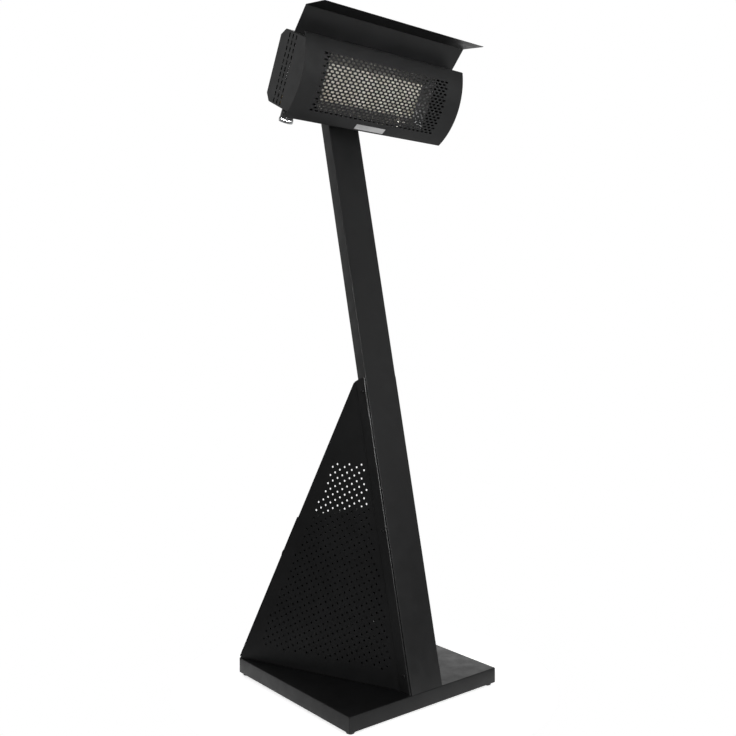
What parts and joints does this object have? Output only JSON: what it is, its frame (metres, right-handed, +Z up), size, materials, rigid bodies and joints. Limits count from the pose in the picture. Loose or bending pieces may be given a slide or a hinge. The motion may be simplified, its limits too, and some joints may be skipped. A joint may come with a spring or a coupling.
{
  "type": "patio heater",
  "caption": "Directional gas patio heater: oblong radiant head with perforated cover and hood on a flat post leaning back over a square base with a splayed bottle housing.",
  "frame": {"origin": "on the floor under the centre of the square base", "axes": "+X to the right seen from the front, +Y to the rear, +Z up; the cover faces -Y"},
  "size_m": [0.6388, 0.6, 2.0882],
  "materials": {
    "black_powder_coat": "satin, fine grain",
    "head_powder_coat": "satin, fine grain",
    "black_steel": "satin",
    "galvanised_steel": "dull spangled",
    "stainless_steel": "brushed",
    "brass": "machined",
    "aluminium": "satin",
    "ceramic": "matt, finely pierced",
    "black_plastic": "moulded",
    "chrome": "polished",
    "rubber": "matt"
  },
  "bodies": {
    "stand": {"base_tray": "black_powder_coat", "ballast_plate": "black_steel", "foot_front_left": "rubber", "foot_front_right": "rubber", "foot_rear_left": "rubber", "foot_rear_right": "rubber", "post_tube": "black_powder_coat", "post_spigot": "black_steel", "post_top_cap": "black_plastic", "post_bracket": "black_powder_coat", "bracket_bolt_lower": "stainless_steel", "bracket_bolt_upper": "stainless_steel", "gas_pipe": "galvanised_steel", "inlet_fitting": "brass", "swivel_body": "brass", "side_panel_left": "black_powder_coat", "side_panel_right": "black_powder_coat", "panel_screw_left_top": "black_steel", "panel_screw_right_top": "black_steel", "panel_screw_left_middle": "black_steel", "panel_screw_right_middle": "black_steel", "panel_screw_left_bottom": "black_steel", "panel_screw_right_bottom": "black_steel", "door_hinge_lower": "black_powder_coat", "door_hinge_upper": "black_powder_coat", "magnet_catch_lower": "black_plastic", "magnet_catch_upper": "black_plastic"},
    "rear door": {"rear_door": "black_powder_coat", "door_handle": "black_steel"},
    "head": {"head_bracket": "head_powder_coat", "rear_casing": "head_powder_coat", "end_cap_left": "head_powder_coat", "end_cap_right": "head_powder_coat", "end_liner_right": "black_steel", "front_cover": "head_powder_coat", "hood": "head_powder_coat", "name_plate": "aluminium", "burner_plenum": "galvanised_steel", "ceramic_tile_1": "ceramic", "ceramic_tile_2": "ceramic", "ceramic_tile_3": "ceramic", "ceramic_tile_4": "ceramic", "reflector": "stainless_steel", "heat_shield": "galvanised_steel", "mixing_tube": "galvanised_steel", "injector": "brass", "gas_valve": "brass", "head_gas_tube": "aluminium", "injector_tube": "aluminium", "igniter_electrode": "ceramic", "thermocouple_probe": "stainless_steel", "knob_bezel": "aluminium"},
    "left tilt clamp": {"tilt_clamp_left": "black_plastic"},
    "right tilt clamp": {"tilt_clamp_right": "black_plastic"},
    "valve stem": {"valve_stem": "stainless_steel"},
    "gas knob": {"control_knob": "black_plastic", "knob_ring": "chrome"}
  },
  "joints": [
    {"name": "head tilt", "type": "hinge", "parent": "stand", "child": "head", "pos_m": [0, 0.09955, 1.94933], "axis": [1, 0, 0], "range_deg": [-20, 20]},
    {"name": "left clamp turn", "type": "hinge", "parent": "stand", "child": "left tilt clamp", "pos_m": [0, 0.09955, 1.94933], "axis": [-1, 0, 0], "range_deg": [0, 270]},
    {"name": "right clamp turn", "type": "hinge", "parent": "stand", "child": "right tilt clamp", "pos_m": [0, 0.09955, 1.94933], "axis": [1, 0, 0], "range_deg": [0, 270]},
    {"name": "rear door swing", "type": "hinge", "parent": "stand", "child": "rear door", "pos_m": [0.2829, 0.27011, 0.14677], "axis": [0.2266, 0.3226, -0.919], "range_deg": [0, 110]},
    {"name": "knob push", "type": "slide", "parent": "head", "child": "valve stem", "axis": [0, -0.4582, 0.8889], "range_m": [0, 0.004], "stiffness_N_per_m": 1500, "springref_m": -0.003},
    {"name": "knob turn", "type": "hinge", "parent": "valve stem", "child": "gas knob", "pos_m": [-0.29, 0.01635, 1.80518], "axis": [0, 0.4582, -0.8889], "range_deg": [0, 180]}
  ]
}
